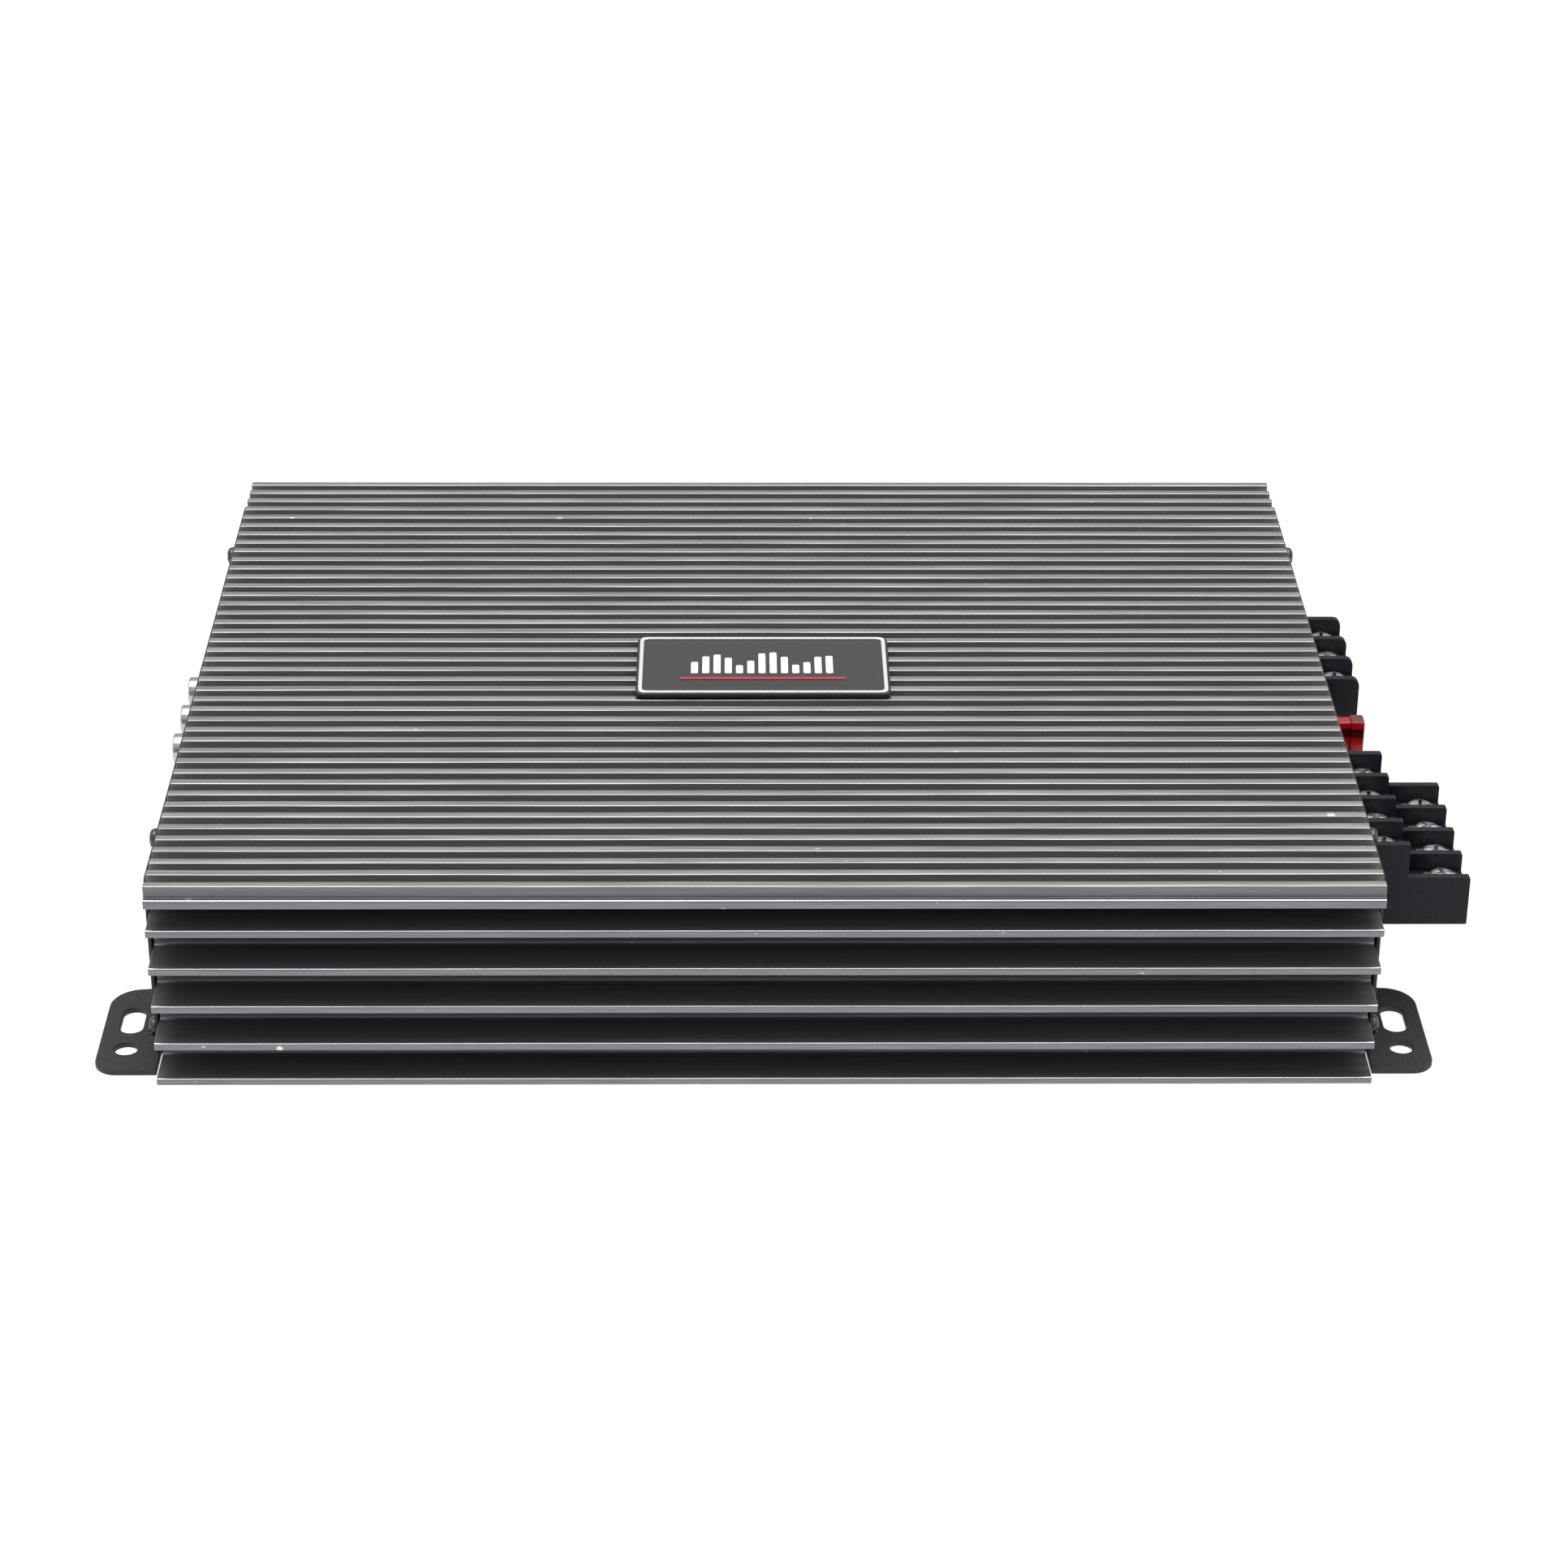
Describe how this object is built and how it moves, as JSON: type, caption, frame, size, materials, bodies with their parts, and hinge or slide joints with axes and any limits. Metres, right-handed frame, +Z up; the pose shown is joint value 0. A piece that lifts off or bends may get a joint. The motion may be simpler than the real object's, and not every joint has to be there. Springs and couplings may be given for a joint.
{
  "type": "car amplifier",
  "caption": "Low ribbed aluminium car amplifier with side fins, screw terminals, a blade fuse, phono jacks, controls and mounting ears.",
  "frame": {"origin": "centre of the heat-sink extrusion, on the plane of the underside", "axes": "+X along the extrusion to the power and speaker side, +Y to the rear, +Z up"},
  "size_m": [0.3434, 0.248, 0.0571],
  "materials": {
    "brushed_aluminium": "brushed along the extrusion, satin",
    "powder_coat": "fine textured black powder coat",
    "panel_black": "satin black paint",
    "nickel_screw": "nickel plated, polished",
    "nickel_jack": "nickel plated, polished",
    "black_plastic": "moulded, satin",
    "knob_plastic": "moulded, satin",
    "badge_dark": "dark fine-textured lacquer",
    "badge_silver": "bright silver edge",
    "fuse_red": "translucent red",
    "fuse_metal": "tin plated",
    "lamp_green": "translucent green",
    "lamp_red": "translucent red",
    "board_green": "solder resist",
    "copper_winding": "enamelled copper wire",
    "capacitor_sleeve": "shrink sleeve",
    "inner_steel": "zinc plated"
  },
  "bodies": {
    "chassis": {"badge_frame": "badge_silver", "badge_plate": "badge_dark", "bass_potentiometer": "inner_steel", "bottom_plate": "powder_coat", "bottom_plate_screw_1": "nickel_screw", "bottom_plate_screw_2": "nickel_screw", "bottom_plate_screw_3": "nickel_screw", "bottom_plate_screw_4": "nickel_screw", "filter_choke": "copper_winding", "filter_switch_body_1": "inner_steel", "filter_switch_body_2": "inner_steel", "fuse_holder": "black_plastic", "heatsink_shell": "brushed_aluminium", "input_panel": "panel_black", "input_panel_screw_1": "nickel_screw", "input_panel_screw_2": "nickel_screw", "input_panel_screw_3": "nickel_screw", "input_panel_screw_4": "nickel_screw", "jack_block": "black_plastic", "jack_shell_1": "nickel_jack", "jack_shell_2": "nickel_jack", "jack_shell_3": "nickel_jack", "jack_shell_4": "nickel_jack", "jack_shell_5": "nickel_jack", "jack_shell_6": "nickel_jack", "level_potentiometer": "inner_steel", "lowpass_potentiometer": "inner_steel", "main_board": "board_green", "power_lamp": "lamp_green", "power_panel": "panel_black", "power_panel_screw_1": "nickel_screw", "power_panel_screw_2": "nickel_screw", "power_panel_screw_3": "nickel_screw", "power_panel_screw_4": "nickel_screw", "power_terminal_block": "black_plastic", "power_transformer": "copper_winding", "protection_lamp": "lamp_red", "speaker_terminal_block": "black_plastic", "storage_capacitor_1": "capacitor_sleeve", "storage_capacitor_2": "capacitor_sleeve", "transistor_clamp_front": "inner_steel", "transistor_clamp_rear": "inner_steel"},
    "speaker_screw_1": {"speaker_terminal_screw_1": "nickel_screw"},
    "speaker_screw_2": {"speaker_terminal_screw_2": "nickel_screw"},
    "speaker_screw_3": {"speaker_terminal_screw_3": "nickel_screw"},
    "speaker_screw_4": {"speaker_terminal_screw_4": "nickel_screw"},
    "speaker_screw_5": {"speaker_terminal_screw_5": "nickel_screw"},
    "speaker_screw_6": {"speaker_terminal_screw_6": "nickel_screw"},
    "speaker_screw_7": {"speaker_terminal_screw_7": "nickel_screw"},
    "speaker_screw_8": {"speaker_terminal_screw_8": "nickel_screw"},
    "power_screw_1": {"power_terminal_screw_1": "nickel_screw"},
    "power_screw_2": {"power_terminal_screw_2": "nickel_screw"},
    "power_screw_3": {"power_terminal_screw_3": "nickel_screw"},
    "fuse": {"fuse_body": "fuse_red", "fuse_element": "fuse_metal"},
    "level_control": {"level_knob": "knob_plastic"},
    "lowpass_control": {"lowpass_knob": "knob_plastic"},
    "bass_control": {"bass_knob": "knob_plastic"},
    "filter_switch_1": {"filter_switch_lever_1": "knob_plastic"},
    "filter_switch_2": {"filter_switch_lever_2": "knob_plastic"}
  },
  "joints": [
    {"name": "speaker_screw_turn_1", "type": "hinge", "parent": "chassis", "child": "speaker_screw_1", "pos_m": [0.1554, -0.08282, 0.044], "axis": [0, 0, 1], "continuous": true},
    {"name": "speaker_screw_turn_2", "type": "hinge", "parent": "chassis", "child": "speaker_screw_2", "pos_m": [0.1554, -0.07046, 0.044], "axis": [0, 0, 1], "continuous": true},
    {"name": "speaker_screw_turn_3", "type": "hinge", "parent": "chassis", "child": "speaker_screw_3", "pos_m": [0.1554, -0.0581, 0.044], "axis": [0, 0, 1], "continuous": true},
    {"name": "speaker_screw_turn_4", "type": "hinge", "parent": "chassis", "child": "speaker_screw_4", "pos_m": [0.1554, -0.04574, 0.044], "axis": [0, 0, 1], "continuous": true},
    {"name": "speaker_screw_turn_5", "type": "hinge", "parent": "chassis", "child": "speaker_screw_5", "pos_m": [0.1712, -0.08282, 0.0349], "axis": [0, 0, 1], "continuous": true},
    {"name": "speaker_screw_turn_6", "type": "hinge", "parent": "chassis", "child": "speaker_screw_6", "pos_m": [0.1712, -0.07046, 0.0349], "axis": [0, 0, 1], "continuous": true},
    {"name": "speaker_screw_turn_7", "type": "hinge", "parent": "chassis", "child": "speaker_screw_7", "pos_m": [0.1712, -0.0581, 0.0349], "axis": [0, 0, 1], "continuous": true},
    {"name": "speaker_screw_turn_8", "type": "hinge", "parent": "chassis", "child": "speaker_screw_8", "pos_m": [0.1712, -0.04574, 0.0349], "axis": [0, 0, 1], "continuous": true},
    {"name": "power_screw_turn_1", "type": "hinge", "parent": "chassis", "child": "power_screw_1", "pos_m": [0.1556, 0.01148, 0.044], "axis": [0, 0, 1], "continuous": true},
    {"name": "power_screw_turn_2", "type": "hinge", "parent": "chassis", "child": "power_screw_2", "pos_m": [0.1556, 0.02404, 0.044], "axis": [0, 0, 1], "continuous": true},
    {"name": "power_screw_turn_3", "type": "hinge", "parent": "chassis", "child": "power_screw_3", "pos_m": [0.1556, 0.0366, 0.044], "axis": [0, 0, 1], "continuous": true},
    {"name": "fuse_pull", "type": "slide", "parent": "chassis", "child": "fuse", "axis": [1, 0, 0], "range_m": [0, 0.022]},
    {"name": "level_turn", "type": "hinge", "parent": "chassis", "child": "level_control", "pos_m": [-0.1522, -0.024, 0.026], "axis": [-1, 0, 0], "range_deg": [-150, 150]},
    {"name": "lowpass_turn", "type": "hinge", "parent": "chassis", "child": "lowpass_control", "pos_m": [-0.1522, -0.042, 0.026], "axis": [-1, 0, 0], "range_deg": [-150, 150]},
    {"name": "bass_turn", "type": "hinge", "parent": "chassis", "child": "bass_control", "pos_m": [-0.1522, -0.06, 0.026], "axis": [-1, 0, 0], "range_deg": [-150, 150]},
    {"name": "filter_switch_slide_1", "type": "slide", "parent": "chassis", "child": "filter_switch_1", "axis": [0, 1, 0], "range_m": [-0.002, 0.002]},
    {"name": "filter_switch_slide_2", "type": "slide", "parent": "chassis", "child": "filter_switch_2", "axis": [0, 1, 0], "range_m": [-0.002, 0.002]}
  ]
}
